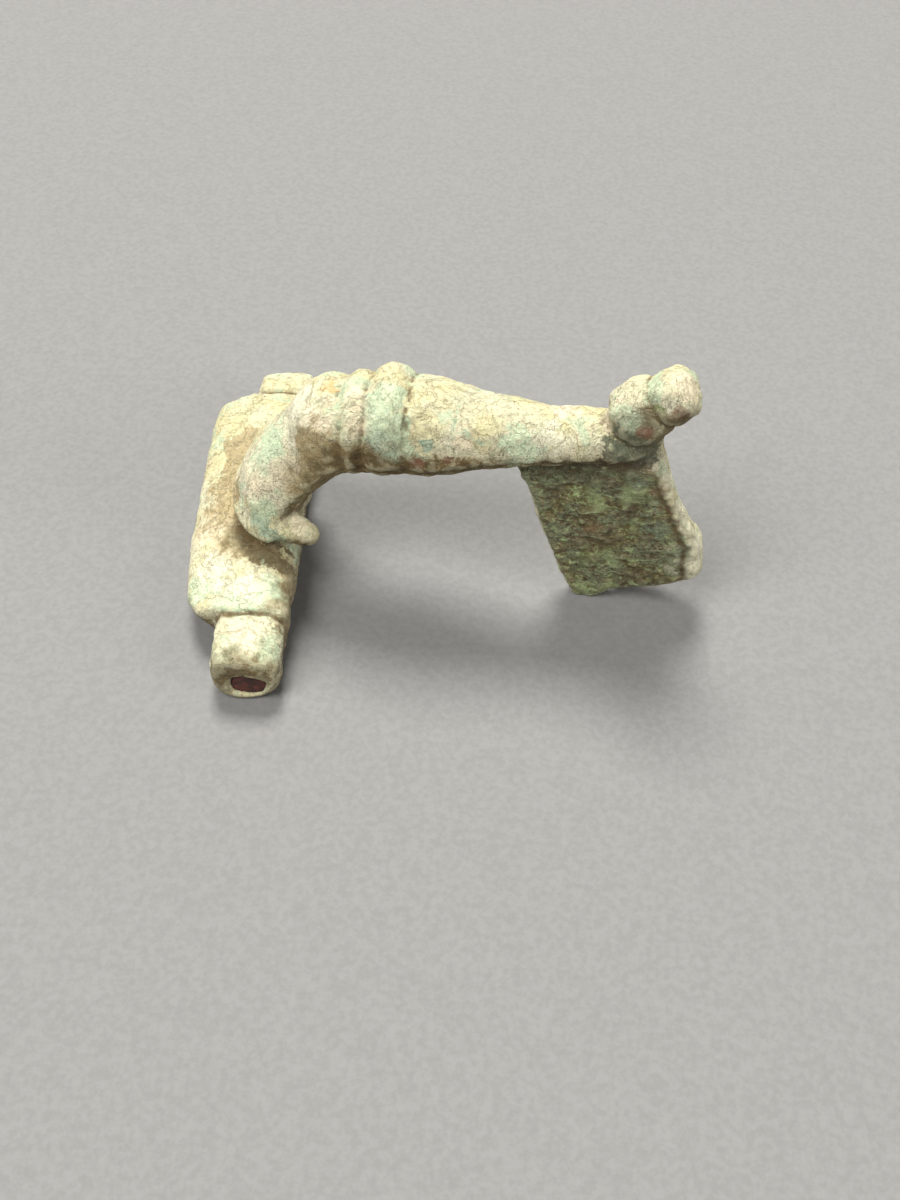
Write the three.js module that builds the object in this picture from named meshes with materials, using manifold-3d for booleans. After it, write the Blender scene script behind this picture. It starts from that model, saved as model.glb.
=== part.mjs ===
// A cast bronze bow brooch (fibula) of the hinged, T-shaped kind, about 49 mm long, its pin lost.
// It stands as it would on a table: on the crossbar and on one corner of the catch plate.
//
// Millimetres, +Z up. The crossbar runs along Y. The bow springs from its middle towards +X
// and is set a little askew, so that the foot lies on the -Y side.

import * as THREE from 'three';
import { mergeVertices } from 'three/addons/utils/BufferGeometryUtils.js';
import Module from 'manifold-3d';

const wasm = await Module();
wasm.setup();

// ---- Driving dimensions ----------------------------------------------------------------

const BOW_SKEW = THREE.MathUtils.degToRad(8); // the bow's turn away from square to the bar

const BAR = {
  halfLength: 19.6, // the crossbar's hinge tube
  centre: -0.3,
  reach: 3.35, // its half width
  middle: 2.6, // height of its widest line
  rise: 2.5,
  drop: 2.76, // cut off at the table, which leaves a narrow flat to stand on
  taper: 0.3, // loss of half width towards the ends
  topPower: 3.6, // its top is nearly flat,
  underPower: 2.2, // its underside round
  rim: 0.8, // rounded rim of the end faces, this far along
  rimDepth: 0.55, // and this deep
};

const WING = {
  near: -13.7, // the broad middle stretch of the bar, from here
  far: 16.0, // to here
  crest: -0.5, // X of its highest line
  front: 7.15, // reach of its thin front edge, away from the bow
  back: 2.9,
  middle: 1.9, // height of its edges
  rise: 3.5,
  drop: 2.1,
  lift: 1.9, // how far the front edge climbs towards the near end
  root: 3.0, // what is left of the front's reach at the two ends
  nearCorner: 2.9, // how square the front corners are: 2 is an ellipse, more is squarer
  farCorner: 9,
  widest: 3.0, // Y where the front edge reaches furthest
  rim: 0.9,
  rimDepth: 0.6,
};

const BORE = { width: 2.8, height: 2.0, z: 1.9, depth: 6.7, power: 2.4 }; // hinge axle's hole, near end
const FIT = 0.3; // clearance of the axle in its hole
const AXLE = { length: 6.0, sunk: 0.25 }; // it ends this far inside the bar's end face

// The bow's centre line in its own upright plane (s along it, z up) and its section there.
const BOW = [
  { s: -0.1, z: 1.2, wide: 9.6, deep: 5.2 },
  { s: 0.0, z: 5.4, wide: 10.4, deep: 5.6 },
  { s: 0.4, z: 7.6, wide: 13.0, deep: 6.4 },
  { s: 1.2, z: 10.2, wide: 11.6, deep: 6.8 },
  { s: 3.9, z: 13.9, wide: 9.8, deep: 6.9 },
  { s: 7.4, z: 17.1, wide: 9.2, deep: 7.8 },
  { s: 11.4, z: 18.3, wide: 9.3, deep: 8.8 },
  { s: 16.0, z: 18.4, wide: 8.9, deep: 7.9 },
  { s: 21.0, z: 18.8, wide: 7.0, deep: 6.0 },
  { s: 26.0, z: 19.3, wide: 5.6, deep: 4.8 },
  { s: 31.6, z: 20.2, wide: 5.0, deep: 4.4 },
  { s: 35.2, z: 20.4, wide: 2.6, deep: 2.6 },
];
const BOW_POWER = 2.2; // its sections are a little boxier than round,
const BOW_KEEL = 0.17; // and widest this share of their depth below the middle, with a flat belly
const BELLY_POWER = 1.8;
const UPRIGHT = { from: 4.0, to: 12.0 }; // past here the sections stand upright, as the rings do

// Ring mouldings over the bow: where they lie along it, how far they stand proud on its back,
// and the share of that on its flanks. The underside has none.
const RINGS = [
  { from: 5.0, to: 8.0, proud: 0.75, flank: 0.15 },
  { from: 7.4, to: 8.5, proud: -0.35, flank: 0.7 },
  { from: 8.0, to: 9.6, proud: 0.35, flank: 1.2 },
  { from: 9.2, to: 10.4, proud: -0.35, flank: 1.2 },
  { from: 10.0, to: 13.5, proud: 0.65, flank: 0.9 },
  { from: 13.0, to: 13.9, proud: -0.3, flank: 1 },
];

const FLANGE = { z: 7.7, half: 1.0, proud: 0.5 }; // lip round the root of the bow
const STUB = { s: 6.1, z: 7.6, wide: 3.0, high: 2.8, from: 0.8, root: 3.6, across: 5.5 }; // lug on the lip
const STUB_DOME = 0.38; // share of its length that rounds off to the tip
const FAR_STUB = 3.6; // its worn fellow on the other side ends here

const KNOB = { s: 31.5, z: 21.7, tilt: THREE.MathUtils.degToRad(42) }; // the upturned foot

const PLATE = {
  thick: 2.2,
  bevel: 0.45,
  offset: -0.2, // its middle, measured from the bow's plane
};

// The channel folded up behind the plate's lower edge, for the point of the pin.
const CATCH = {
  from: { s: 33.8, z: 1.4 },
  to: { s: 40.6, z: 4.4 },
  gap: 1.4,
  wall: 1.1,
  floor: 1.1,
  high: 3.4,
};

// The thick border of the plate's foot-end edge, from the knob down to the closed end of
// the channel.
const BORDER_POWER = 2.6;
const BORDER_RIM = { length: 1, span: 6, depth: 0.4 }; // its lower end draws in a little
const BORDER = [
  { s: 33.4, z: 21.4, across: 0.2, wide: 3.0, thick: 1.3 },
  { s: 35.5, z: 17.2, across: 0.6, wide: 4.4, thick: 1.4 },
  { s: 36.8, z: 13.8, across: 0.6, wide: 3.8, thick: 1.3 },
  { s: 38.5, z: 10.4, across: 0.5, wide: 3.2, thick: 1.3 },
  { s: 40.3, z: 6.9, across: 1.1, wide: 4.6, thick: 1.7 },
  { s: 40.5, z: 4.9, across: 1.1, wide: 4.4, thick: 1.5 },
];

// ---- Solids ----------------------------------------------------------------------------

/** The manifold solid of a closed three.js geometry. */
function solid(geometry) {
  const bare = geometry.clone();
  for (const name of Object.keys(bare.attributes)) {
    if (name !== 'position') bare.deleteAttribute(name);
  }
  const merged = mergeVertices(bare, 1e-5);
  return new wasm.Manifold(new wasm.Mesh({
    numProp: 3,
    vertProperties: new Float32Array(merged.attributes.position.array),
    triVerts: new Uint32Array(merged.index.array),
  }));
}

/** A manifold solid as a three.js geometry again. */
function geometryOf(body) {
  const mesh = body.getMesh();
  const geometry = new THREE.BufferGeometry();
  geometry.setAttribute('position', new THREE.BufferAttribute(mesh.vertProperties, 3));
  geometry.setIndex(new THREE.BufferAttribute(mesh.triVerts, 1));
  geometry.computeVertexNormals();
  return geometry;
}

/**
 * A closed tube of any changing section: a unit cylinder whose points are laid by place(t, angle),
 * t running 0 to 1 along it. The two end faces close on the mean of their rims.
 */
function loft(sides, steps, place) {
  const geometry = new THREE.CylinderGeometry(1, 1, 1, sides, steps);
  const points = geometry.attributes.position;
  const centre = (t) => {
    const sum = new THREE.Vector3();
    for (let k = 0; k < sides; k += 1) sum.add(place(t, (k / sides) * 2 * Math.PI));
    return sum.divideScalar(sides);
  };
  for (let i = 0; i < points.count; i += 1) {
    const x = points.getX(i);
    const z = points.getZ(i);
    const t = THREE.MathUtils.clamp(points.getY(i) + 0.5, 0, 1);
    const onAxis = Math.hypot(x, z) < 0.5;
    const p = onAxis ? centre(t) : place(t, Math.atan2(x, z));
    points.setXYZ(i, p.x, p.y, p.z);
  }
  return geometry;
}

/** sin or cos squared off: power 2 is round, more is boxier. */
function squared(value, power) {
  return Math.sign(value) * Math.abs(value) ** (2 / power);
}

/** 0 in the open, rising to 1 over the last `rim` millimetres before an end. */
function nearEnd(distance, rim) {
  return distance >= rim ? 0 : 1 - Math.sqrt(Math.max(0, 1 - (1 - distance / rim) ** 2));
}

/** Steps 0..1 drawn together towards both ends, where rims need them. */
function eased(t) {
  return 0.5 - 0.5 * Math.cos(Math.PI * t);
}

// ---- Crossbar --------------------------------------------------------------------------

function hingeTube() {
  return loft(28, 20, (t, angle) => {
    const y = (2 * eased(t) - 1) * BAR.halfLength;
    const end = nearEnd(BAR.halfLength - Math.abs(y), BAR.rim);
    const shrink = BAR.rimDepth * end;
    const reach = BAR.reach - BAR.taper * (y / BAR.halfLength) ** 2 - shrink;
    const up = Math.cos(angle);
    const power = up > 0 ? BAR.topPower : BAR.underPower;
    const x = BAR.centre + reach * squared(Math.sin(angle), power);
    const z = ((up > 0 ? BAR.rise : BAR.drop) - shrink) * squared(up, power);
    return new THREE.Vector3(x, y, Math.max(0, BAR.middle + z));
  });
}

function wing() {
  return loft(36, 24, (t, angle) => {
    const y = WING.near + eased(t) * (WING.far - WING.near);
    const shrink = WING.rimDepth * nearEnd(Math.min(y - WING.near, WING.far - y), WING.rim);
    const corner = y < WING.widest ? WING.nearCorner : WING.farCorner;
    const end = y < WING.widest ? WING.near : WING.far;
    const out = (y - WING.widest) / (end - WING.widest);
    const plan = Math.max(0, 1 - out ** corner) ** (1 / corner);
    const front = WING.root + (WING.front - WING.root) * plan;
    const side = Math.sin(angle);
    const up = Math.cos(angle);
    const lift = side < 0 && y < WING.widest ? WING.lift * out ** 4 * Math.abs(side) : 0;
    const rise = WING.rise - shrink - lift;
    const drop = WING.drop + lift;
    let power = 4;
    if (side < 0) power = up > 0 ? 2.3 : 1.15; // the front's underside slopes straight up to its edge
    const reach = (side < 0 ? front : WING.back) - shrink;
    const x = WING.crest + reach * squared(side, power);
    const z = WING.middle + lift + (up > 0 ? rise : drop) * squared(up, power);
    return new THREE.Vector3(x, y, Math.max(0, z));
  });
}

/** The axle's rounded-rectangle rod, grown by `clearance`, its face at the bar's near end. */
function rod(length, clearance, face) {
  const geometry = loft(16, 2, (t, angle) => new THREE.Vector3(
    (BORE.width / 2 + clearance) * squared(Math.sin(angle), BORE.power),
    face + t * length,
    BORE.z + (BORE.height / 2 + clearance) * squared(Math.cos(angle), BORE.power),
  ));
  return solid(geometry);
}

// ---- Bow -------------------------------------------------------------------------------

/** A curve through one measure, or a pair of them, of a list of stations. */
function through(stations, first, second) {
  return new THREE.CatmullRomCurve3(
    stations.map((k) => new THREE.Vector3(k[first], 0, second ? k[second] : 0)),
  );
}

const bowLine = through(BOW, 's', 'z');
const bowSize = through(BOW, 'wide', 'deep');

/** How far the ring mouldings raise the bow's skin at s along it, up running -1 below to 1 above. */
function ringRelief(s, up) {
  const back = THREE.MathUtils.smoothstep(up, 0.1, 0.9);
  const below = THREE.MathUtils.smoothstep(up, -0.8, 0.0);
  let proud = 0;
  for (const ring of RINGS) {
    if (s > ring.from && s < ring.to) {
      const swell = Math.sin((Math.PI * (s - ring.from)) / (ring.to - ring.from));
      proud += ring.proud * swell * THREE.MathUtils.lerp(ring.flank, 1, back) * below;
    }
  }
  return proud;
}

function bow() {
  return loft(28, 68, (t, angle) => {
    const centre = bowLine.getPoint(t);
    const along = bowLine.getTangent(t);
    const size = bowSize.getPoint(t);
    const { x: s, z } = centre;
    const upright = THREE.MathUtils.smoothstep(s, UPRIGHT.from, UPRIGHT.to);
    const outward = new THREE.Vector3(-along.z, 0, along.x)
      .lerp(new THREE.Vector3(0, 0, 1), upright).normalize();
    const up = Math.cos(angle);
    const power = up > 0 ? BOW_POWER : BELLY_POWER;
    const deep = size.z * (up > 0 ? 0.5 + BOW_KEEL : 0.5 - BOW_KEEL);
    const skin = new THREE.Vector3(0, (-size.x / 2) * squared(Math.sin(angle), power), 0)
      .addScaledVector(outward, deep * squared(up, power));
    centre.addScaledVector(outward, -BOW_KEEL * size.z);
    const lip = FLANGE.proud * Math.exp(-(((z - FLANGE.z) / (FLANGE.half / 2)) ** 2));
    const proud = s < UPRIGHT.from ? lip : ringRelief(s, up);
    return centre.add(skin).addScaledVector(skin.normalize(), proud);
  });
}

/** A blunt finger lying along the bow's direction, `side` -1 on the near flank and 1 beyond. */
function lug(tip, side) {
  return loft(14, 12, (t, angle) => {
    const u = eased(t);
    const girth = Math.sqrt(Math.max(0.02, 1 - Math.max(0, 1 - (1 - u) / STUB_DOME) ** 2));
    const across = THREE.MathUtils.lerp(STUB.root, STUB.across, Math.sqrt(u));
    return new THREE.Vector3(
      STUB.from + u * (tip - STUB.from),
      side * across - (STUB.wide / 2) * girth * Math.sin(angle),
      STUB.z + (STUB.high / 2) * girth * Math.cos(angle),
    );
  });
}

// ---- Foot ------------------------------------------------------------------------------

/** The upturned terminal: a bead, a neck and a domed end knob on one tilted axis. */
function knob() {
  const outline = [
    [0, -0.8], [1.2, -0.8], [1.75, 0.3], [2.4, 0.8], [2.75, 1.4], [2.9, 2.2], [2.85, 3.1],
    [2.65, 4.0], [2.3, 4.6], [2.42, 5.0], [2.48, 5.8], [2.38, 6.9], [1.95, 7.5], [1.2, 7.85], [0, 7.95],
  ].map(([radius, height]) => new THREE.Vector2(radius, height));
  const geometry = new THREE.LatheGeometry(outline, 26);
  geometry.rotateX(Math.PI / 2);
  geometry.rotateY(Math.PI / 2 - KNOB.tilt);
  geometry.translate(KNOB.s, 0, KNOB.z);
  return geometry;
}

/** The catch plate's outline in the bow's plane, standing on its lower front corner. */
function plateOutline() {
  const shape = new THREE.Shape();
  shape.moveTo(22.4, 17.5);
  shape.quadraticCurveTo(24.4, 14.0, 25.6, 10.2);
  shape.quadraticCurveTo(26.8, 6.2, 28.6, 2.4);
  shape.quadraticCurveTo(29.4, 0.5, 30.2, 0.0);
  shape.lineTo(31.8, 0.0);
  shape.quadraticCurveTo(32.8, 0.5, 33.4, 1.4);
  shape.quadraticCurveTo(37.0, 2.4, 40.2, 4.2);
  shape.quadraticCurveTo(41.6, 5.0, 41.2, 6.8);
  shape.quadraticCurveTo(40.4, 10.0, 38.3, 13.0);
  shape.quadraticCurveTo(36.6, 16.5, 35.4, 21.5);
  shape.lineTo(32.0, 21.5);
  shape.lineTo(26.0, 19.0);
  shape.closePath();
  return shape;
}

function catchPlate() {
  const geometry = new THREE.ExtrudeGeometry(plateOutline(), {
    depth: PLATE.thick - 2 * PLATE.bevel,
    bevelEnabled: true,
    bevelThickness: PLATE.bevel,
    bevelSize: PLATE.bevel,
    bevelOffset: -PLATE.bevel,
    bevelSegments: 2,
    curveSegments: 6,
  });
  geometry.translate(0, 0, -PLATE.thick / 2 + PLATE.bevel);
  geometry.rotateX(Math.PI / 2);
  geometry.translate(0, PLATE.offset, 0);
  return geometry;
}

/** The channel: a hooked profile drawn along the plate's lower edge, behind it. */
function catchChannel() {
  const across = CATCH.gap + CATCH.wall;
  const shape = new THREE.Shape();
  shape.moveTo(0, -0.1);
  shape.quadraticCurveTo(across, -0.3, across, 1.0);
  shape.lineTo(across - 0.1, CATCH.high);
  shape.lineTo(CATCH.gap + 0.2, CATCH.high - 0.2);
  shape.quadraticCurveTo(CATCH.gap, CATCH.floor, 0, CATCH.floor);
  shape.closePath();
  const from = new THREE.Vector3(CATCH.from.s, 0, CATCH.from.z);
  const run = new THREE.Vector3(CATCH.to.s, 0, CATCH.to.z).sub(from);
  const geometry = new THREE.ExtrudeGeometry(shape, {
    depth: run.length(), bevelEnabled: false, curveSegments: 6,
  });
  const along = run.clone().normalize();
  const up = new THREE.Vector3(-along.z, 0, along.x);
  geometry.translate(0.5, 0, 0);
  geometry.applyMatrix4(new THREE.Matrix4()
    .makeBasis(new THREE.Vector3(0, 1, 0), up, along)
    .setPosition(from));
  return geometry;
}

function plateBorder() {
  const line = through(BORDER, 's', 'z');
  const size = through(BORDER, 'wide', 'thick');
  const across = through(BORDER, 'across');
  return loft(16, 18, (t, angle) => {
    const along = line.getTangent(t);
    const girth = size.getPoint(t);
    const rim = 1 - BORDER_RIM.depth * nearEnd((1 - t) * BORDER_RIM.span, BORDER_RIM.length);
    const outward = new THREE.Vector3(-along.z, 0, along.x);
    return line.getPoint(t)
      .addScaledVector(outward, (girth.z / 2) * rim * squared(Math.cos(angle), BORDER_POWER))
      .add(new THREE.Vector3(
        0,
        across.getPoint(t).x - (girth.x / 2) * rim * squared(Math.sin(angle), BORDER_POWER),
        0,
      ));
  });
}

// ---- The brooch ------------------------------------------------------------------------

/** A piece made in the bow's plane, turned to the bow's real direction. */
function onBow(geometry) {
  geometry.rotateZ(-BOW_SKEW);
  return solid(geometry);
}

const casting = [
  solid(wing()),
  onBow(bow()),
  onBow(lug(STUB.s, -1)),
  onBow(lug(FAR_STUB, 1)),
  onBow(knob()),
  onBow(catchPlate()),
  onBow(catchChannel()),
  onBow(plateBorder()),
].reduce((whole, next) => whole.add(next), solid(hingeTube()))
  .subtract(rod(BORE.depth + 1, FIT, -BAR.halfLength - 1)); // it starts 1 mm outside the face

const axle = rod(AXLE.length, 0, -BAR.halfLength + AXLE.sunk);

const bronze = new THREE.MeshStandardMaterial({ color: '#a3a583', roughness: 0.85, metalness: 0.1 });
const rust = new THREE.MeshStandardMaterial({ color: '#3c211d', roughness: 0.6, metalness: 0.1 });

const brooch = new THREE.Group();
const pieces = { brooch_casting: [casting, bronze], iron_axle_stub: [axle, rust] };
for (const [name, [body, material]] of Object.entries(pieces)) {
  const mesh = new THREE.Mesh(geometryOf(body), material);
  mesh.name = name;
  brooch.add(mesh);
}

// The origin is under the middle of the whole object.
const box = new THREE.Box3().setFromObject(brooch);
const middle = box.getCenter(new THREE.Vector3());
brooch.position.set(-middle.x, -middle.y, -box.min.z);

export default brooch;
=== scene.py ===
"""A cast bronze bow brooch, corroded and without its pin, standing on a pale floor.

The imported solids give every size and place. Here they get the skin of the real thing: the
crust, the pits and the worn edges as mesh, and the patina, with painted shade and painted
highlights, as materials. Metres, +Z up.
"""

import math

import bpy
import numpy as np
from mathutils import Matrix, Vector, noise


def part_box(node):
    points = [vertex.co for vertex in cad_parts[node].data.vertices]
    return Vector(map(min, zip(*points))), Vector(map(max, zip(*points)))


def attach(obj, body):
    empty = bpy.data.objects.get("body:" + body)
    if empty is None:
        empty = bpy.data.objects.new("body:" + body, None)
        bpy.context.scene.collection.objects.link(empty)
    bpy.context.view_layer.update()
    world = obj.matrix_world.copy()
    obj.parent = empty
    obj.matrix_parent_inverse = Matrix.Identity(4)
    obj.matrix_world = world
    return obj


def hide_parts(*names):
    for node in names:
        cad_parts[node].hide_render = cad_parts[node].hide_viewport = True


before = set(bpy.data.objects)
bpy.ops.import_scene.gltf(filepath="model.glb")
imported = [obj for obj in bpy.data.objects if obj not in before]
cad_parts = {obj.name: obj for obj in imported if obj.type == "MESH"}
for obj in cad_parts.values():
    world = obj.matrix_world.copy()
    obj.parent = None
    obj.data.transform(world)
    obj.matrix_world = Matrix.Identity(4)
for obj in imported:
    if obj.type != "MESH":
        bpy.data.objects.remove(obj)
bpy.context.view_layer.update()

MM = 0.001
SKIN_VOXEL = 0.2  # mm, the spacing of the casting's skin
AXLE_VOXEL = 0.1

# ---- Where things lie, in millimetres ----------------------------------------------------

CASTING_LOW = np.array(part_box("brooch_casting")[0]) / MM
AXLE_LOW = np.array(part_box("iron_axle_stub")[0]) / MM

WING_REACH = 7.65  # from the bow's root to the wing's thin edge, the one away from the bow
BOW_SKEW = math.radians(8.0)  # the bow isn't quite square to the bar
BOW_ROOT = np.array([CASTING_LOW[0] + WING_REACH, 0.0, 0.0])
ALONG = np.array([math.cos(BOW_SKEW), -math.sin(BOW_SKEW), 0.0])
ACROSS = np.array([math.sin(BOW_SKEW), math.cos(BOW_SKEW), 0.0])


def on_bow(s, z, across=0.0):
    """The place s millimetres out along the bow, z up and so far across it."""
    return BOW_ROOT + ALONG * s + ACROSS * across + np.array([0.0, 0.0, z])


KNOB_ROOT = on_bow(31.5, 21.7)
KNOB_TILT = math.radians(42.0)
KNOB_AXIS = ALONG * math.cos(KNOB_TILT) + np.array([0.0, 0.0, math.sin(KNOB_TILT)])

# Creases, as where they lie and how wide they are: out along the bow, or along the knob's axis.
BEAD_GROOVE = (8.0, 0.5)
RING_GROOVE, RING_DIRT = (9.9, 0.7), (9.8, 0.5)
COLLAR_GROOVE, COLLAR_DIRT = (13.45, 0.6), (13.5, 0.35)
KNOB_WAIST, WAIST_DIRT = (4.6, 0.45), (4.6, 0.35)

BAR_STEPS = (-13.75, 16.05)  # Y where the bar's broad part steps down to its two ends
BAR_STEP_WIDTH = 0.6

# Where the casting's parts begin, each from none of the part to all of it. FROM and TO are
# out along the bow or the knob, ABOVE and BELOW are heights.
PLATE_FROM, PLATE_BELOW = (22.0, 24.0), (18.2, 16.8)
PLATE_EDGE_ABOVE = (1.0, 2.5)
BACK_FROM, BACK_ABOVE = (6.0, 8.0), (14.0, 16.0)
BOW_ABOVE, BOW_TO = (12.0, 14.0), (32.0, 30.0)
KNOB_FROM, KNOB_ABOVE = (29.0, 30.5), (20.0, 21.5)
KNOB_WORN_FROM = (4.8, 6.8)
FLANK_BELOW, FLANK_TO = (18.9, 18.0), (24.0, 20.0)  # painted shade on the lower part of the bow's flanks
BAR_STEP_ABOVE, BAR_STEP_BELOW = (3.0, 4.2), (7.0, 6.0)

# The crevice between the catch plate and its thick border: how far out it lies, by height.
BORDER_LINE = ([4.0, 9.1, 11.8, 13.5, 15.6, 18.6], [39.8, 39.2, 37.8, 36.9, 36.0, 35.2])
BORDER_WIDTH = 0.7

# ---- Meshes ------------------------------------------------------------------------------


def band(value, low, high):
    """0 at low, 1 at high and smooth between; either may be the larger."""
    t = np.clip((value - low) / (high - low), 0.0, 1.0)
    return t * t * (3.0 - 2.0 * t)


def bump(value, centre, width):
    """A rounded ridge of height 1 and about that width."""
    return np.exp(-(((value - centre) / (0.5 * width)) ** 2))


OCTAVE_FADE, OCTAVE_STEP = 1.0, 2.0  # each octave is half as high as the last and twice as fine
SEED_SHIFT = np.array([17.3, 5.1, 9.7])


def field(points, size, octaves=4, seed=0.0, stretch=(1.0, 1.0, 1.0)):
    """Fractal noise about -1..1 whose largest lumps are `size` millimetres across."""
    shifted = points / (np.array(stretch) * size) + seed * SEED_SHIFT
    values = [noise.fractal(Vector(p), OCTAVE_FADE, OCTAVE_STEP, octaves) for p in shifted]
    return np.array(values)


class Skin:
    """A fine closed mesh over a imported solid, worked on as numpy arrays in millimetres."""

    def __init__(self, node, name, voxel):
        source = bpy.data.objects.new(name + "_source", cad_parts[node].data.copy())
        bpy.context.scene.collection.objects.link(source)
        source.data.transform(Matrix.Scale(1 / MM, 4))
        remesh = source.modifiers.new("skin", "REMESH")
        remesh.mode = "VOXEL"
        remesh.voxel_size = voxel
        evaluated = source.evaluated_get(bpy.context.evaluated_depsgraph_get())
        self.mesh = bpy.data.meshes.new_from_object(evaluated)
        self.mesh.name = name
        bpy.data.objects.remove(source)
        self.name = name
        self.points = np.zeros(len(self.mesh.vertices) * 3)
        self.mesh.vertices.foreach_get("co", self.points)
        self.points = self.points.reshape(-1, 3)
        edges = np.zeros(len(self.mesh.edges) * 2, np.int64)
        self.mesh.edges.foreach_get("vertices", edges)
        self.edges = edges.reshape(-1, 2)
        self.valence = np.bincount(self.edges.ravel(), minlength=len(self.points))

    def around(self, values):
        """The mean of the values at each point's neighbours."""
        values = values.reshape(len(self.points), -1)
        a, b = self.edges.T
        sums = [
            np.bincount(a, column[b], len(self.points)) + np.bincount(b, column[a], len(self.points))
            for column in values.T
        ]
        return (np.array(sums) / self.valence).T

    def smooth(self, rounds):
        """Draws every point half way to its neighbours' mean, so many times."""
        for _ in range(rounds):
            self.points += 0.5 * (self.around(self.points) - self.points)

    def normals(self):
        """The unit normal at each point, as the skin now lies."""
        self.mesh.vertices.foreach_set("co", self.points.ravel())
        self.mesh.update()
        normals = np.zeros(self.points.size)
        self.mesh.vertices.foreach_get("normal", normals)
        return normals.reshape(-1, 3)

    def push(self, amount):
        """Moves every point out along its normal."""
        self.points += self.normals() * amount[:, None]

    def hollowness(self, rounds):
        """How far each point lies below the surface round it, in millimetres."""
        normals = self.normals()
        level = self.points.copy()
        for _ in range(rounds):
            level = self.around(level)
        return ((level - self.points) * normals).sum(axis=1)

    def paint(self, name, values):
        """Keeps a number or a colour at each point, for the material."""
        if values.ndim == 1:
            layer = self.mesh.attributes.new(name, "FLOAT", "POINT")
            layer.data.foreach_set("value", values.astype(np.float32))
        else:
            layer = self.mesh.attributes.new(name, "FLOAT_COLOR", "POINT")
            layer.data.foreach_set("color", values.astype(np.float32).ravel())

    def finished(self, node, material):
        """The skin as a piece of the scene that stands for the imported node."""
        self.mesh.vertices.foreach_set("co", (self.points * MM).ravel())
        self.mesh.update()
        self.mesh.polygons.foreach_set("use_smooth", np.ones(len(self.mesh.polygons), bool))
        self.mesh.materials.clear()
        self.mesh.materials.append(material)
        piece = bpy.data.objects.new(self.name, self.mesh)
        bpy.context.scene.collection.objects.link(piece)
        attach(piece, "root")
        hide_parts(node)
        return piece


# ---- Materials ---------------------------------------------------------------------------


class Wire:
    """A value in a material's node tree. Arithmetic on it adds Math nodes."""

    def __init__(self, finish, socket):
        self.finish = finish
        self.socket = socket

    def math(self, operation, *values):
        """A Math node on this value and any others."""
        sockets = dict(enumerate((self, *values)))
        return self.finish.add("ShaderNodeMath", {"operation": operation}, sockets)

    def __add__(self, other):
        return self.math("ADD", other)

    def __radd__(self, other):
        return self.math("ADD", other)

    def __sub__(self, other):
        return self.math("SUBTRACT", other)

    def __rsub__(self, other):
        return self.finish.add("ShaderNodeMath", {"operation": "SUBTRACT"}, {0: other, 1: self})

    def __mul__(self, other):
        return self.math("MULTIPLY", other)

    def __rmul__(self, other):
        return self.math("MULTIPLY", other)

    def step(self, low, high):
        """0 at low, 1 at high and smooth between; either may be the larger."""
        settings = {"interpolation_type": "SMOOTHSTEP"}
        sockets = {"Value": self, "From Min": min(low, high), "From Max": max(low, high)}
        if low > high:
            sockets |= {"To Min": 1.0, "To Max": 0.0}
        return self.finish.add("ShaderNodeMapRange", settings, sockets)


class Finish:
    """A material and the nodes that make it."""

    MIX_SHARE, MIX_UNDER, MIX_OVER, MIX_OUT = 0, 6, 7, 2  # a Mix node's sockets for colours

    def __init__(self, name):
        self.material = bpy.data.materials.new(name)
        self.material.use_nodes = True
        self.tree = self.material.node_tree
        self.tree.nodes.clear()
        place = self.add("ShaderNodeTexCoord", out="Object")
        self.place = self.add(
            "ShaderNodeVectorMath", {"operation": "SCALE"}, {0: place, "Scale": 1 / MM}
        )

    def add(self, kind, settings=None, sockets=None, out=0):
        """A node with its settings, then the values or links of its sockets; gives its output."""
        node = self.tree.nodes.new(kind)
        for name, value in (settings or {}).items():
            setattr(node, name, value)
        for key, value in (sockets or {}).items():
            if isinstance(value, Wire):
                self.tree.links.new(value.socket, node.inputs[key])
            elif isinstance(value, tuple) and node.inputs[key].type == "RGBA":
                node.inputs[key].default_value = (*value, 1.0)
            else:
                node.inputs[key].default_value = value
        return Wire(self, node.outputs[out]) if node.outputs else node

    def noise(self, size, detail=4.0, roughness=0.55, seed=0.0, distortion=0.0, stretch=None):
        """Noise about 0..1 with lumps `size` millimetres across; another seed, other lumps."""
        place = self.place
        if stretch:
            place = self.add(
                "ShaderNodeVectorMath", {"operation": "MULTIPLY"}, {0: place, 1: stretch}
            )
        place = self.add(
            "ShaderNodeVectorMath", {"operation": "ADD"}, {0: place, 1: (seed, seed * 1.7, -seed)}
        )
        sockets = {
            "Vector": place, "Scale": 1.0 / size, "Detail": detail,
            "Roughness": roughness, "Distortion": distortion,
        }
        return self.add("ShaderNodeTexNoise", sockets=sockets)

    def kept(self, name, out="Fac"):
        """What Skin.paint kept under that name. Alpha is a colour's fourth value."""
        return self.add("ShaderNodeAttribute", {"attribute_name": name}, out=out)

    def mix(self, share, under, over):
        """One colour laid over another, as far as its share goes."""
        settings = {"data_type": "RGBA", "blend_type": "MIX", "clamp_factor": True}
        sockets = {self.MIX_SHARE: share, self.MIX_UNDER: under, self.MIX_OVER: over}
        return self.add("ShaderNodeMix", settings, sockets, out=self.MIX_OUT)

    def surface(self, sockets, relief, strength, depth):
        """Closes the material with one shader, its normal roughened `depth` millimetres deep."""
        bump_node = self.add(
            "ShaderNodeBump", sockets={"Height": relief, "Strength": strength, "Distance": depth * MM}
        )
        shader = self.add("ShaderNodeBsdfPrincipled", sockets={**sockets, "Normal": bump_node})
        self.add("ShaderNodeOutputMaterial", sockets={"Surface": shader})
        return self.material
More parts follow.
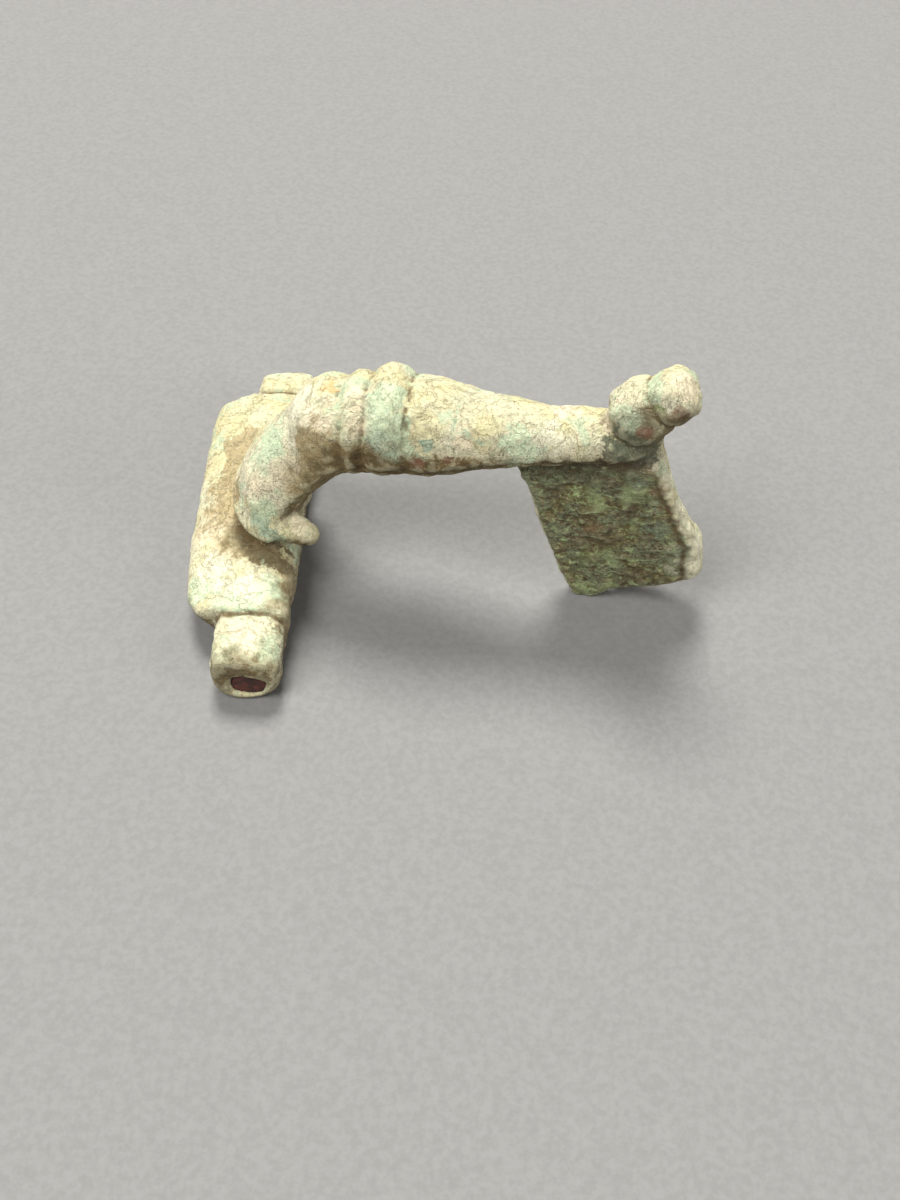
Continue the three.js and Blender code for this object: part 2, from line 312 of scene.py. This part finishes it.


# The crust's colours, its dirt and rust, with painted shade and painted highlights among them,
# and then the catch plate's own, with a painted shade for under the bow.
CREAM = (0.73, 0.70, 0.47)
PALE_CREAM_AND_HIGHLIGHT = (0.87, 0.84, 0.62)
YELLOW_CREAM = (0.74, 0.68, 0.38)
MINT = (0.56, 0.68, 0.46)
FRESH_MINT = (0.66, 0.80, 0.54)
TEAL = (0.42, 0.56, 0.41)
TAN_PINK = (0.72, 0.58, 0.40)
PALE_PINK = (0.93, 0.82, 0.58)
SAND = (0.42, 0.33, 0.18)
BROWN_DIRT_AND_SHADE = (0.40, 0.30, 0.14)
SADDLE_TAN = (0.48, 0.38, 0.20)
OLIVE = (0.18, 0.15, 0.07)
DIRT_AND_SHADE = (0.15, 0.10, 0.035)
DARK_DIRT = (0.05, 0.033, 0.017)
RED_BROWN = (0.26, 0.12, 0.07)
RUST_ORANGE = (0.76, 0.53, 0.24)
NECK_GREEN = (0.12, 0.145, 0.095)
LEAF_GREEN = (0.19, 0.25, 0.08)
PLATE_GREY = (0.25, 0.28, 0.155)
PLATE_GREEN = (0.48, 0.60, 0.28)
PLATE_OLIVE = (0.20, 0.18, 0.065)
PLATE_BROWN = (0.115, 0.07, 0.03)
PLATE_SHADE = (0.075, 0.062, 0.037)
PLATE_TEAL = (0.20, 0.27, 0.19)
PLATE_RUST = (0.38, 0.21, 0.105)

IRON_BLACK = (0.045, 0.018, 0.016)
IRON_RED = (0.12, 0.035, 0.025)
IRON_CRUMBS = (0.22, 0.09, 0.04)


def patina_and_painted_light():
    """Corroded bronze: cream and mint crusts with dirt in the cracks, the catch plate darker,
    with painted shade and painted highlights laid in.
    """
    finish = Finish("bronze_patina")
    clouds = finish.noise(5.0, 3.0, seed=3.1)
    islands = finish.noise(2.8, 5.0, seed=8.4, distortion=0.6)
    patches = finish.noise(1.0, 5.0, seed=1.7, distortion=0.4)
    grain = finish.noise(0.30, 5.0, 0.65, seed=5.5)
    specks = finish.noise(0.13, 4.0, 0.7, seed=7.7)
    layers = finish.noise(0.62, 6.0, 0.72, seed=2.9, distortion=1.2, stretch=(0.62, 0.62, 1.1))
    hollow = finish.kept("hollow")
    nook = finish.kept("nook")
    crevice = finish.kept("crevice")
    plate = finish.kept("plate")
    side = finish.kept("side")
    under = finish.kept("under")

    # the crust, its steep sides painted paler as painted light, and darker where it faces down:
    # olive dirt with painted shade there, and painted shade on the bow's lower flanks
    colour = finish.mix(side * 0.8, CREAM, PALE_CREAM_AND_HIGHLIGHT)
    colour = finish.mix(clouds.step(0.42, 0.60) * 0.9, colour, YELLOW_CREAM)
    colour = finish.mix(patches.step(0.52, 0.66) * 0.5, colour, TAN_PINK)
    colour = finish.mix(islands.step(0.56, 0.60) * 0.75, colour, MINT)
    # painted shade, with olive dirt, where the crust faces down and on the bow's lower flanks
    colour = finish.mix(under * 0.92, colour, OLIVE)
    colour = finish.mix(under * patches.step(0.48, 0.60) * 0.8, colour, BROWN_DIRT_AND_SHADE)
    colour = finish.mix(under * grain.step(0.42, 0.56) * 0.85, colour, DIRT_AND_SHADE)

    # the catch plate's face, in flakes that lie one over another
    face = finish.mix(islands.step(0.46, 0.58), PLATE_GREY, PLATE_OLIVE)
    face = finish.mix(patches.step(0.52, 0.62) * 0.5, face, SAND)
    face = finish.mix(layers.step(0.54, 0.60) * 0.9, face, PLATE_GREEN)
    face = finish.mix(layers.step(0.48, 0.40) * 0.8, face, PLATE_BROWN)
    face = finish.mix(layers.step(0.43, 0.36) * 0.8, face, DARK_DIRT)
    face = finish.mix(grain.step(0.53, 0.64) * 0.85, face, DARK_DIRT)
    colour = finish.mix(plate, colour, face)

    # the stains, painted shade and painted highlights, with ragged edges
    edge = finish.kept("stain_and_painted_light", "Alpha") + 1.3 * (patches - 0.5) + 2.0 * (grain - 0.5)
    stain_and_painted_light = edge.step(0.28, 0.66) * (0.88 - 0.4 * plate)
    colour = finish.mix(stain_and_painted_light, colour, finish.kept("stain_and_painted_light", "Color"))

    # dirt in the cracks, the bends and the hollows
    crack = (islands - 0.5).math("ABSOLUTE").step(0.012, 0.002)
    fine_crack = (patches - 0.47).math("ABSOLUTE").step(0.016, 0.003)
    cracks = (crack * 0.9).math("MAXIMUM", fine_crack * 0.5)
    colour = finish.mix(cracks * (1.0 - plate) * 0.33, colour, DIRT_AND_SHADE)
    colour = finish.mix(nook.step(0.10, 0.32) * grain.step(0.25, 0.50) * 0.8, colour, DIRT_AND_SHADE)
    colour = finish.mix(crevice * patches.step(0.36, 0.50) * 0.9, colour, DIRT_AND_SHADE)
    colour = finish.mix(hollow.step(0.03, 0.11) * 0.6, colour, DIRT_AND_SHADE)
    colour = finish.mix(hollow.step(0.12, 0.22) * 0.6, colour, DARK_DIRT)

    # fine specks, dark and light, and a painted highlight on the crust where it stands proud
    speckled = side * (0.55 + 0.45 * under)
    colour = finish.mix(speckled * specks.step(0.53, 0.60), colour, DIRT_AND_SHADE)
    colour = finish.mix(side * (1.0 - under) * specks.step(0.44, 0.36) * 0.25, colour, PALE_CREAM_AND_HIGHLIGHT)
    colour = finish.mix(hollow.step(-0.02, -0.09) * (0.35 - 0.2 * plate), colour, CREAM)
    colour = finish.mix(grain.step(0.57, 0.72) * 0.6, colour, DIRT_AND_SHADE)
    colour = finish.mix(grain.step(0.42, 0.28) * (0.40 - 0.2 * plate), colour, CREAM)

    sockets = {"Base Color": colour, "Roughness": 0.72 + 0.25 * grain, "Metallic": 0.0}
    relief = grain + 0.9 * patches - 0.5 * cracks + 1.6 * plate * layers + 0.6 * specks
    return finish.surface(sockets, relief, strength=1.0, depth=0.25)


def iron_rust():
    """What is left of an iron axle: near black, red-brown where it crumbles."""
    finish = Finish("iron_rust")
    lumps = finish.noise(0.7, 4.0, seed=2.2)
    grain = finish.noise(0.16, 5.0, 0.6, seed=6.1)
    colour = finish.mix(lumps.step(0.4, 0.62), IRON_BLACK, IRON_RED)
    colour = finish.mix(grain.step(0.58, 0.7) * 0.6, colour, IRON_CRUMBS)
    sockets = {"Base Color": colour, "Roughness": 0.55 + 0.4 * grain, "Metallic": 0.0}
    return finish.surface(sockets, grain + lumps, strength=0.6, depth=0.1)


# ---- The casting's skin ------------------------------------------------------------------

# Patches of another colour, stains and also painted shade and painted highlights: how far out
# along the bow's direction, how high and how far across it they lie, and how wide they are,
# all in millimetres.
STAINS_AND_PAINTED_LIGHT = {
    "mint crust": (FRESH_MINT, [
        (1.4, 15.6, -2.2, 2.6), (0.3, 13.8, -3.1, 2.0), (0.9, 10.2, -5.6, 1.8), (-4.4, 4.1, -11.5, 2.2),
        (2.9, 5.3, -11.6, 2.4), (0.6, 5.0, -18.6, 2.4), (4.0, 5.0, -17.4, 2.2), (11.5, 21.7, -3.6, 2.6),
        (11.6, 22.6, -2.4, 1.7), (12.7, 22.6, -1.6, 1.2), (11.7, 20.1, -4.6, 2.4), (7.8, 19.5, -3.6, 1.8),
        (8.7, 19.1, -4.4, 1.8), (13.3, 19.4, -4.2, 1.6), (31.0, 24.5, -1.3, 1.1), (34.0, 26.8, -1.1, 1.2),
        (34.0, 27.2, 0.3, 1.0), (32.7, 24.1, -2.7, 1.4), (23.7, 19.8, -2.8, 2.0), (0.4, 5.4, -12.6, 2.6),
    ]),
    "teal crust": (TEAL, [
        (0.6, 8.7, -6.1, 1.2), (2.2, 7.4, -6.5, 1.4), (1.6, 8.2, -6.4, 0.9), (15.8, 19.8, -3.9, 0.7),
        (8.6, 19.2, -4.4, 1.2), (11.4, 19.6, -4.8, 1.6),
    ]),
    "pink and tan": (PALE_PINK, [
        (3.6, 14.1, -4.7, 2.4), (0.4, 12.5, -4.3, 2.2), (-3.8, 5.0, -4.4, 3.0), (1.6, 5.1, -16.6, 2.4),
        (9.5, 20.3, -3.4, 1.4), (8.9, 22.0, -1.3, 1.4), (6.0, 20.0, -3.2, 2.0), (18.8, 19.9, -3.4, 0.9),
        (30.7, 22.7, -1.0, 1.2), (31.4, 25.2, -1.0, 0.9), (36.8, 27.5, -0.7, 2.0), (4.5, 8.9, -5.2, 1.8),
        (26.9, 21.7, 0.8, 1.8), (0.2, 4.9, -5.6, 2.0),
    ]),
    "orange rust": (RUST_ORANGE, [(6.2, 21.2, 0.0, 1.1)]),
    "green dark as leaves": (LEAF_GREEN, [(34.8, 25.6, -2.3, 0.9)]),
    "dark green": (NECK_GREEN, [
        (32.5, 22.6, -2.8, 1.9), (32.9, 20.8, -2.0, 2.2), (34.4, 20.4, -1.6, 2.0), (33.4, 19.6, -1.6, 1.8),
    ]),
    "sandy dust": (SAND, [
        (4.1, 3.7, -8.2, 2.4), (-3.6, 5.1, -1.6, 2.0), (-2.5, 8.4, -2.5, 1.6), (-4.4, 5.1, 7.0, 2.4),
        (4.5, 13.6, -4.8, 1.8), (6.8, 16.5, -4.7, 2.6), (-2.8, 5.3, 2.4, 2.2), (4.6, 3.8, -12.2, 2.4),
    ]),
    # painted shade on the underside of the bow's bend
    "painted shade in the bend": (BROWN_DIRT_AND_SHADE, [
        (6.0, 17.6, -4.5, 2.6), (5.6, 18.6, -4.2, 1.6), (7.7, 17.6, -4.4, 2.4), (6.0, 15.3, -4.7, 2.2),
        (5.2, 13.4, -4.8, 1.8), (9.1, 17.2, -4.7, 2.6), (-2.5, 8.4, -2.5, 2.2),
    ]),
    "tan along the bar": (SADDLE_TAN, [
        (-3.8, 5.1, -1.6, 3.4), (-4.4, 5.1, 3.0, 3.2), (-4.4, 5.1, 7.0, 3.0), (-1.4, 5.4, -5.4, 3.4),
    ]),
    # real dirt on the bar's near end, and painted shade in the bend, under the horn's lip and along the
    # bow's lower flanks
    "dirt": (DIRT_AND_SHADE, [
        (11.8, 17.0, -5.0, 2.4), (-0.4, 5.4, -5.3, 2.2), (1.1, 5.4, -6.6, 2.0), (-1.6, 5.6, -4.3, 1.8),
        (2.6, 5.1, -6.9, 1.8), (0.5, 3.4, -19.8, 2.4), (4.4, 4.5, -19.3, 2.4), (0.2, 4.2, -19.6, 1.9),
        (4.3, 4.4, -10.3, 1.5), (4.8, 3.9, -14.1, 1.7), (34.4, 24.7, -2.4, 1.5), (35.8, 25.0, -2.4, 1.4),
        (14.6, 16.8, -4.6, 2.0), (19.0, 17.2, -3.9, 1.8), (22.4, 17.4, -3.4, 1.6), (5.4, 13.8, -4.7, 1.2),
        (6.2, 15.6, -4.6, 1.2), (9.3, 17.0, -4.6, 1.6), (7.6, 16.9, -4.5, 1.4), (4.8, 6.9, -6.5, 1.2),
        (2.4, 4.9, -19.6, 1.6),
    ]),
    # painted highlights on the catch plate's rim and bulge, on the bar and on the bow's back
    "painted highlight on rims": (PALE_CREAM_AND_HIGHLIGHT, [
        (40.5, 8.2, -0.8, 2.6), (40.8, 6.4, -0.9, 2.6), (0.3, 5.4, -11.0, 2.0), (-3.4, 4.9, -9.2, 2.2),
        (37.0, 16.4, -0.5, 1.6), (38.3, 13.1, -0.5, 1.6), (4.0, 19.2, -1.0, 2.4), (26.0, 20.9, -1.8, 1.6),
    ]),
    "red brown": (RED_BROWN, [
        (15.0, 17.9, -4.5, 0.7), (17.4, 18.4, -4.1, 0.6), (36.4, 26.0, -2.4, 0.8), (33.9, 23.6, -2.8, 0.7),
        (36.0, 15.6, -1.4, 0.9), (36.9, 13.5, -1.3, 0.9), (37.8, 11.8, -1.3, 0.8),
    ]),
    "shade under the bow": (PLATE_SHADE, [
        (28.3, 16.6, -1.3, 2.6), (31.4, 17.0, -1.3, 2.8), (25.6, 16.6, -1.3, 1.6), (33.4, 17.6, -1.3, 1.6),
    ]),
    "brown of the plate": (PLATE_BROWN, [
        (31.6, 8.7, -1.3, 2.6), (33.7, 12.3, -1.3, 1.6), (35.5, 9.3, -1.3, 1.3), (35.3, 4.6, -1.3, 1.7),
        (34.4, 3.0, -1.3, 1.4), (27.0, 13.6, -1.3, 1.4), (30.2, 8.0, -1.3, 1.6), (40.2, 3.6, -1.3, 1.4),
    ]),
    "green of the plate": (PLATE_GREEN, [
        (30.6, 13.6, -1.3, 1.6), (33.9, 14.7, -1.3, 1.3), (32.6, 6.2, -1.3, 1.2), (34.4, 10.8, -1.3, 0.9),
        (31.0, 1.0, -1.3, 1.8), (33.2, 2.0, -1.3, 1.2),
    ]),
    "leaf green of the plate": (LEAF_GREEN, [(30.6, 5.7, -1.3, 1.3), (35.0, 14.4, -1.3, 0.8)]),
    "teal of the plate": (PLATE_TEAL, [
        (33.8, 16.3, -1.3, 1.0), (36.8, 11.0, -1.3, 1.4), (39.3, 8.6, -1.3, 1.0),
    ]),
    "rust of the plate": (PLATE_RUST, [(30.8, 9.7, -1.3, 0.9)]),
}


PATCH_WARP = 0.6  # how far the edges of the stains and of the painted shade and highlights wander, as a share of their width
PATCH_EDGE = (1.3, 0.2)  # from none of a patch to all of it, in widths from its middle


def stain_and_light_colours(points):
    """The colour of the stains, painted shade and painted highlights at each point, with their
    share in its fourth value.
    """
    warp = np.stack([field(points, 1.3, 3, seed=k) for k in (7.0, 8.0, 9.0)], axis=1)
    colour = np.zeros((len(points), 4))
    for tint, places in STAINS_AND_PAINTED_LIGHT.values():
        for s, z, across, width in places:
            offset = (points - on_bow(s, z, across)) / width + PATCH_WARP * warp
            share = band(np.linalg.norm(offset, axis=1), *PATCH_EDGE)[:, None]
            colour = colour * (1 - share) + np.array([*tint, 1.0]) * share
    colour[:, :3] /= np.maximum(colour[:, 3:], 1e-4)  # undoes the fading to black at their edges
    return colour


# The casting's relief, in millimetres: how high the crust stands and how deep the creases are.
LUMPS, GRIT, FLAKES = 0.17, 0.09, 0.15
FLAKE_TOP = 0.3  # a flake is flat above this share of its rise
PLATE_FLAKES, PLATE_EDGE, PLATE_EDGE_LOSS = 0.20, 0.22, 0.05
FLANK_LUMPS, KNOB_LUMPS = 0.14, 0.22
COLLAR_FILL, RING_DEPTH, BEAD_DEPTH = 0.15, 0.04, 0.03
TURN_DEPTH = 0.26  # where the bow's flanks turn under
WAIST_DEPTH, KNOB_WEAR = 0.12, 0.50
STEP_DEPTH, BORDER_DEPTH = 0.34, 0.22
WANDER = 0.35  # how far a crease strays from its line

CASTING_ROUNDS, AXLE_ROUNDS = 7, 4  # of smoothing, which takes the facets out of the skin
HOLLOW_REACH, NOOK_REACH = 9, 65  # rounds of averaging: pits and grooves, then whole bends


class Lie:
    """Where the casting's points lie and which way they face. Masks are from 0 to 1."""

    def __init__(self, skin):
        points, normals = skin.points.copy(), skin.normals()
        self.points = points
        self.s = (points - BOW_ROOT) @ ALONG
        self.y, self.z = points.T[1:]
        self.up = normals[:, 2]
        self.away = normals @ ACROSS  # 1 where it faces the far side, -1 the near side
        self.wander = WANDER * field(points, 2.2, 2, seed=12.0)

        s, z = self.s, self.z
        self.plate = band(s, *PLATE_FROM) * band(z, *PLATE_BELOW)
        self.plate_face = self.plate * band(np.abs(self.away), 0.7, 0.95)
        self.near_face = self.plate_face * band(-self.away, 0.5, 0.8)
        back_edge = band(-(normals @ ALONG), 0.4, 0.8)
        self.plate_edge = self.plate * back_edge * band(z, *PLATE_EDGE_ABOVE)
        self.short_of_border = np.interp(z, *BORDER_LINE) - s
        self.bow_back = band(s, *BACK_FROM) * band(z, *BACK_ABOVE)
        self.bow = band(z, *BOW_ABOVE) * band(s, *BOW_TO) * (1 - self.plate)
        self.knob = band(z, *KNOB_ABOVE) * band(s, *KNOB_FROM)
        self.along_knob = (points - KNOB_ROOT) @ KNOB_AXIS


def crust(lie):
    """Broad lumps, grit, and flakes with a crease where two of them meet."""
    points = lie.points
    flakes = np.abs(field(points, 1.9, 4, seed=11.0))
    relief = LUMPS * field(points, 2.6, 3, seed=1.0) + GRIT * field(points, 0.8, 4, seed=2.0)
    relief += FLAKES * np.minimum(flakes, FLAKE_TOP)
    plate_flakes = field(points, 0.7, 5, seed=3.0, stretch=(1.3, 1.0, 0.8))
    return relief + PLATE_FLAKES * lie.plate_face * plate_flakes


def bow_creases(lie):
    """Grooves round the bow, filled up on its flanks, and the edge where those turn under."""
    s, up = lie.s, lie.up
    back = band(up, 0.25, 0.6)
    flank = band(up, 0.75, 0.35)
    upright = bump(up, 0.0, 0.5)
    turned_under = bump(up, -0.42, 0.42)
    relief = COLLAR_FILL * flank * bump(s, *COLLAR_GROOVE)
    relief -= RING_DEPTH * bump(s, *RING_GROOVE) + BEAD_DEPTH * bump(s, *BEAD_GROOVE)
    relief *= lie.bow_back
    relief -= lie.bow * TURN_DEPTH * turned_under
    relief += lie.bow * FLANK_LUMPS * upright * field(lie.points, 1.0, 3, seed=16.0)
    dirt = 0.9 * back * bump(s + 0.5 * lie.wander, *COLLAR_DIRT)
    dirt += 0.45 * bump(s + lie.wander, *RING_DIRT)
    return relief, lie.bow_back * dirt


def knob_creases(lie):
    """The foot knob is lumpy and has a waist, and its end is worn away beneath."""
    underside = band(lie.up, 0.1, -0.7)
    relief = KNOB_LUMPS * field(lie.points, 2.2, 2, seed=15.0)
    relief -= WAIST_DEPTH * bump(lie.along_knob, *KNOB_WAIST)
    relief -= KNOB_WEAR * underside * band(lie.along_knob, *KNOB_WORN_FROM)
    dirt = 0.7 * bump(lie.along_knob + 0.3 * lie.wander, *WAIST_DIRT)
    return lie.knob * relief, lie.knob * dirt


def bar_creases(lie):
    """The steps down from the broad part of the bar to its ends."""
    y = lie.y + lie.wander
    heights = band(lie.z, *BAR_STEP_ABOVE) * band(lie.z, *BAR_STEP_BELOW)
    at_steps = sum(bump(y, step_y, BAR_STEP_WIDTH) for step_y in BAR_STEPS) * heights
    return -STEP_DEPTH * at_steps, 0.6 * at_steps


def plate_creases(lie):
    """The crevice along the catch plate's border, and its ragged edge towards the bar."""
    at_border = lie.near_face * bump(lie.short_of_border + 0.6 * lie.wander, 0.0, BORDER_WIDTH)
    ragged = PLATE_EDGE * field(lie.points, 1.4, 3, seed=6.0) - PLATE_EDGE_LOSS
    return lie.plate_edge * ragged - BORDER_DEPTH * at_border, 0.8 * at_border


def casting():
    """The casting's skin: crust and creases as relief, and the masks that its patina reads, those
    of painted shade and painted light among them.
    """
    skin = Skin("brooch_casting", "brooch_skin", SKIN_VOXEL)
    skin.smooth(CASTING_ROUNDS)
    lie = Lie(skin)
    relief = crust(lie)
    dirt = np.zeros(len(relief))
    for creases in (bow_creases, knob_creases, bar_creases, plate_creases):
        rise, crevice = creases(lie)
        relief += rise
        dirt += crevice
    skin.push(relief)
    skin.smooth(1)
    np.maximum(skin.points[:, 2], 0.0, out=skin.points[:, 2])  # nothing below the table

    border = lie.near_face * band(lie.short_of_border + lie.wander, -0.2, -0.9)
    height = skin.points[:, 2]
    # where painted shade darkens the bow's lower flanks
    lower_flank_shade = lie.bow_back * band(height, *FLANK_BELOW) * band(lie.s, *FLANK_TO)
    faces_down = band(lie.up, 0.25, -0.25)
    steep = band(lie.up, 0.80, 0.35)
    skin.paint("hollow", skin.hollowness(HOLLOW_REACH))
    skin.paint("nook", skin.hollowness(NOOK_REACH))
    skin.paint("crevice", dirt)
    skin.paint("plate", lie.plate_face * (1 - border))
    # the steep faces, painted paler as painted light, and specked
    skin.paint("side", steep * (1 - 0.5 * lie.plate_face))
    # darker faces: painted shade with olive dirt where they face down, painted shade on the lower flanks
    skin.paint("under", np.maximum(faces_down, lower_flank_shade) * (1 - lie.plate))
    skin.paint("stain_and_painted_light", stain_and_light_colours(skin.points))
    return skin.finished("brooch_casting", patina_and_painted_light())


# The axle's rust fills its hole, and its broken face is sunk back a little.
RUST_SWELL, RUST_LUMPS, FACE_SUNK = 0.24, 0.09, 0.25
FACE_DEPTH = (0.5, 0.1)  # from none of the face to all of it, behind the axle's near end


def axle():
    """The skin of what is left of the iron axle, swollen with rust."""
    skin = Skin("iron_axle_stub", "axle_rust", AXLE_VOXEL)
    skin.smooth(AXLE_ROUNDS)
    points = skin.points
    swell = RUST_SWELL + RUST_LUMPS * field(points, 0.8, 3, seed=10.0)
    at_face = band(points[:, 1] - AXLE_LOW[1], *FACE_DEPTH) * band(skin.normals()[:, 1], -0.5, -0.9)
    skin.push(swell - FACE_SUNK * at_face)
    return skin.finished("iron_axle_stub", iron_rust())


# ---- Camera, floor and light -------------------------------------------------------------

VIEW_FROM = np.array([17.64, -93.33, 103.12])  # mm, from the bow's root
VIEW_DOWN = math.radians(50.0)
VIEW_ROLL = math.radians(2.7)
LENS, SENSOR = 42.0, 36.0  # mm
VIEW_NEAR, VIEW_FAR = 0.005, 5.0  # m

FLOOR_HALF = 2.0  # m
FLOOR_GREY = (0.20, 0.20, 0.197)
FLOOR_PALE = (0.23, 0.23, 0.227)

# Soft lights: where they hang, how wide they are, in metres, their watts and their colour.
LAMPS = {
    "window": ((-0.125, 0.625, 1.175), 0.5, 24.5, (1.0, 0.98, 0.93)),
    "wall": ((-0.62, -0.50, 1.12), 0.8, 17.5, (1.0, 0.98, 0.95)),
    "door": ((0.9, -0.35, 0.45), 0.5, 4.0, (1.0, 0.98, 0.95)),
}
LAMPS_AIM = Vector((0.0, 0.0, 0.01))
ROOM_LIGHT, ROOM_STRENGTH = (1.0, 0.98, 0.94), 0.16


def camera():
    """The view from above the near end of the crossbar, steeply down on the brooch."""
    ahead = Vector((0.0, math.cos(VIEW_DOWN), -math.sin(VIEW_DOWN)))
    right = Vector((1.0, 0.0, 0.0))
    up = right.cross(ahead)
    x_axis = right * math.cos(VIEW_ROLL) + up * math.sin(VIEW_ROLL)
    y_axis = up * math.cos(VIEW_ROLL) - right * math.sin(VIEW_ROLL)
    turn = Matrix((x_axis, y_axis, -ahead)).transposed().to_4x4()
    data = bpy.data.cameras.new("camera")
    data.lens, data.sensor_width = LENS, SENSOR
    data.clip_start, data.clip_end = VIEW_NEAR, VIEW_FAR
    view = bpy.data.objects.new("camera", data)
    view.matrix_world = Matrix.Translation((BOW_ROOT + VIEW_FROM) * MM) @ turn
    bpy.context.scene.collection.objects.link(view)
    bpy.context.scene.camera = view


def floor():
    """A plain pale sheet, a little mottled."""
    finish = Finish("pale_floor")
    paper = finish.noise(0.6, 5.0, 0.6, seed=4.0)
    colour = finish.mix(paper.step(0.3, 0.7), FLOOR_GREY, FLOOR_PALE)
    sockets = {"Base Color": colour, "Roughness": 0.9}
    material = finish.surface(sockets, paper, strength=0.15, depth=0.1)
    mesh = bpy.data.meshes.new("floor")
    turns = ((-1, -1), (1, -1), (1, 1), (-1, 1))
    corners = [(FLOOR_HALF * x, FLOOR_HALF * y, 0.0) for x, y in turns]
    mesh.from_pydata(corners, [], [(0, 1, 2, 3)])
    mesh.materials.append(material)
    sheet = bpy.data.objects.new("floor", mesh)
    bpy.context.scene.collection.objects.link(sheet)


def lights():
    """Three soft lights round the table, and the room's own."""
    for name, (place, size, power, colour) in LAMPS.items():
        data = bpy.data.lights.new(name, "AREA")
        data.shape = "DISK"
        data.size = size
        data.energy = power
        data.color = colour
        lamp = bpy.data.objects.new(name, data)
        lamp.location = place
        lamp.rotation_euler = (LAMPS_AIM - Vector(place)).to_track_quat("-Z", "Y").to_euler()
        bpy.context.scene.collection.objects.link(lamp)
    world = bpy.data.worlds.new("room")
    world.use_nodes = True
    background = world.node_tree.nodes["Background"]
    background.inputs["Color"].default_value = (*ROOM_LIGHT, 1.0)
    background.inputs["Strength"].default_value = ROOM_STRENGTH
    bpy.context.scene.world = world
    bpy.context.scene.view_settings.view_transform = "Standard"


casting()
axle()
camera()
floor()
lights()
